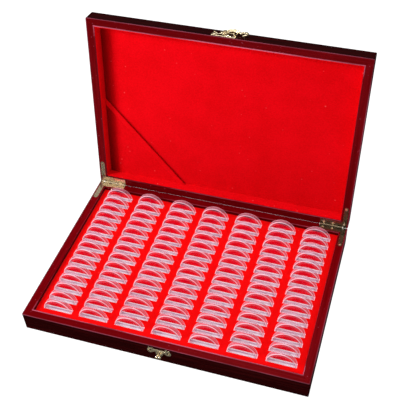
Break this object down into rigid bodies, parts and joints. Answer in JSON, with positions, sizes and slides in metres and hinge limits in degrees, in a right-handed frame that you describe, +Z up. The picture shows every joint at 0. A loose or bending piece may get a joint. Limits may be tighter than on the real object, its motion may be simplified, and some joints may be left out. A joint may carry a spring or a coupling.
{
  "type": "coin display case",
  "caption": "Hinged lacquered wooden case with a velvet tray of slots that hold clear round coin capsules upright, a certificate pocket in the lid and a swing hook latch.",
  "frame": {"origin": "middle of the underside of the base", "axes": "+X right along the case's width, -Y the front with the latch, +Y the hinges, +Z up; the lid is stored open"},
  "size_m": [0.35, 0.3009, 0.2702],
  "materials": {
    "lacquered_wood": "dark red gloss lacquer over fine straight grain",
    "red_velvet": "short bright red velvet",
    "tray_velvet": "bright red velvet glued to the foam",
    "white_foam": "white closed-cell foam, cut edges",
    "clear_acrylic": "clear polished acrylic",
    "antique_brass": "polished, darkened in the recesses"
  },
  "bodies": {
    "base": {"base_front_rail": "lacquered_wood", "base_rear_rail": "lacquered_wood", "base_left_rail": "lacquered_wood", "base_right_rail": "lacquered_wood", "base_panel": "lacquered_wood", "tray_insert": "white_foam", "tray_velvet": "tray_velvet", "left_hinge_base_leaf": "antique_brass", "right_hinge_base_leaf": "antique_brass", "hinge_base_screws": "antique_brass", "hinge_pins": "antique_brass", "catch_plate": "antique_brass", "catch_plate_nails": "antique_brass", "catch_stud": "antique_brass", "capsule_bodies_column_1": "clear_acrylic", "capsule_bodies_column_2": "clear_acrylic", "capsule_bodies_column_3": "clear_acrylic", "capsule_bodies_column_4": "clear_acrylic", "capsule_bodies_column_5": "clear_acrylic", "capsule_bodies_column_6": "clear_acrylic", "capsule_bodies_column_7": "clear_acrylic", "capsule_caps_column_1": "clear_acrylic", "capsule_caps_column_2": "clear_acrylic", "capsule_caps_column_3": "clear_acrylic", "capsule_caps_column_4": "clear_acrylic", "capsule_caps_column_5": "clear_acrylic", "capsule_caps_column_6": "clear_acrylic", "capsule_caps_column_7": "clear_acrylic"},
    "lid": {"lid_front_rail": "lacquered_wood", "lid_rear_rail": "lacquered_wood", "lid_left_rail": "lacquered_wood", "lid_right_rail": "lacquered_wood", "lid_panel": "lacquered_wood", "lid_lining": "red_velvet", "lid_side_lining_strips": "red_velvet", "lid_end_lining_strips": "red_velvet", "corner_pocket": "red_velvet", "left_hinge_lid_leaf": "antique_brass", "right_hinge_lid_leaf": "antique_brass", "hinge_lid_screws": "antique_brass", "hook_plate": "antique_brass", "hook_plate_nails": "antique_brass", "hook_pivot": "antique_brass"},
    "left_stay": {"left_stay": "antique_brass"},
    "right_stay": {"right_stay": "antique_brass"},
    "hook": {"hook": "antique_brass"},
    "loose_capsule_1": {"loose_capsule_body_1": "clear_acrylic", "loose_capsule_cap_1": "clear_acrylic"},
    "loose_capsule_2": {"loose_capsule_body_2": "clear_acrylic", "loose_capsule_cap_2": "clear_acrylic"},
    "loose_capsule_3": {"loose_capsule_body_3": "clear_acrylic", "loose_capsule_cap_3": "clear_acrylic"},
    "loose_capsule_4": {"loose_capsule_body_4": "clear_acrylic", "loose_capsule_cap_4": "clear_acrylic"},
    "loose_capsule_5": {"loose_capsule_body_5": "clear_acrylic", "loose_capsule_cap_5": "clear_acrylic"},
    "loose_capsule_6": {"loose_capsule_body_6": "clear_acrylic", "loose_capsule_cap_6": "clear_acrylic"},
    "loose_capsule_7": {"loose_capsule_body_7": "clear_acrylic", "loose_capsule_cap_7": "clear_acrylic"}
  },
  "joints": [
    {"name": "lid_hinge", "type": "hinge", "parent": "base", "child": "lid", "pos_m": [0, 0.12105, 0.0271], "axis": [-1, 0, 0], "range_deg": [-98, 0]},
    {"name": "left_stay_swing", "type": "hinge", "parent": "base", "child": "left_stay", "pos_m": [0, 0.12105, 0.0271], "axis": [-1, 0, 0], "range_deg": [-49, 0]},
    {"name": "right_stay_swing", "type": "hinge", "parent": "base", "child": "right_stay", "pos_m": [0, 0.12105, 0.0271], "axis": [-1, 0, 0], "range_deg": [-49, 0]},
    {"name": "hook_swing", "type": "hinge", "parent": "lid", "child": "hook", "pos_m": [-0.001, 0.16375, 0.26553], "axis": [0, 0.1392, 0.9903], "range_deg": [-90, 20]},
    {"name": "capsule_1_lift", "type": "slide", "parent": "base", "child": "loose_capsule_1", "axis": [0, 0.0872, 0.9962], "range_m": [0, 0.045]},
    {"name": "capsule_2_lift", "type": "slide", "parent": "base", "child": "loose_capsule_2", "axis": [0, 0.0872, 0.9962], "range_m": [0, 0.045]},
    {"name": "capsule_3_lift", "type": "slide", "parent": "base", "child": "loose_capsule_3", "axis": [0, 0.0872, 0.9962], "range_m": [0, 0.045]},
    {"name": "capsule_4_lift", "type": "slide", "parent": "base", "child": "loose_capsule_4", "axis": [0, 0.0872, 0.9962], "range_m": [0, 0.045]},
    {"name": "capsule_5_lift", "type": "slide", "parent": "base", "child": "loose_capsule_5", "axis": [0, 0.0872, 0.9962], "range_m": [0, 0.045]},
    {"name": "capsule_6_lift", "type": "slide", "parent": "base", "child": "loose_capsule_6", "axis": [0, 0.0872, 0.9962], "range_m": [0, 0.045]},
    {"name": "capsule_7_lift", "type": "slide", "parent": "base", "child": "loose_capsule_7", "axis": [0, 0.0872, 0.9962], "range_m": [0, 0.045]}
  ],
  "couplings": [
    {"joint": "left_stay_swing", "follows": "lid_hinge", "ratio": 0.5},
    {"joint": "right_stay_swing", "follows": "lid_hinge", "ratio": 0.5}
  ]
}
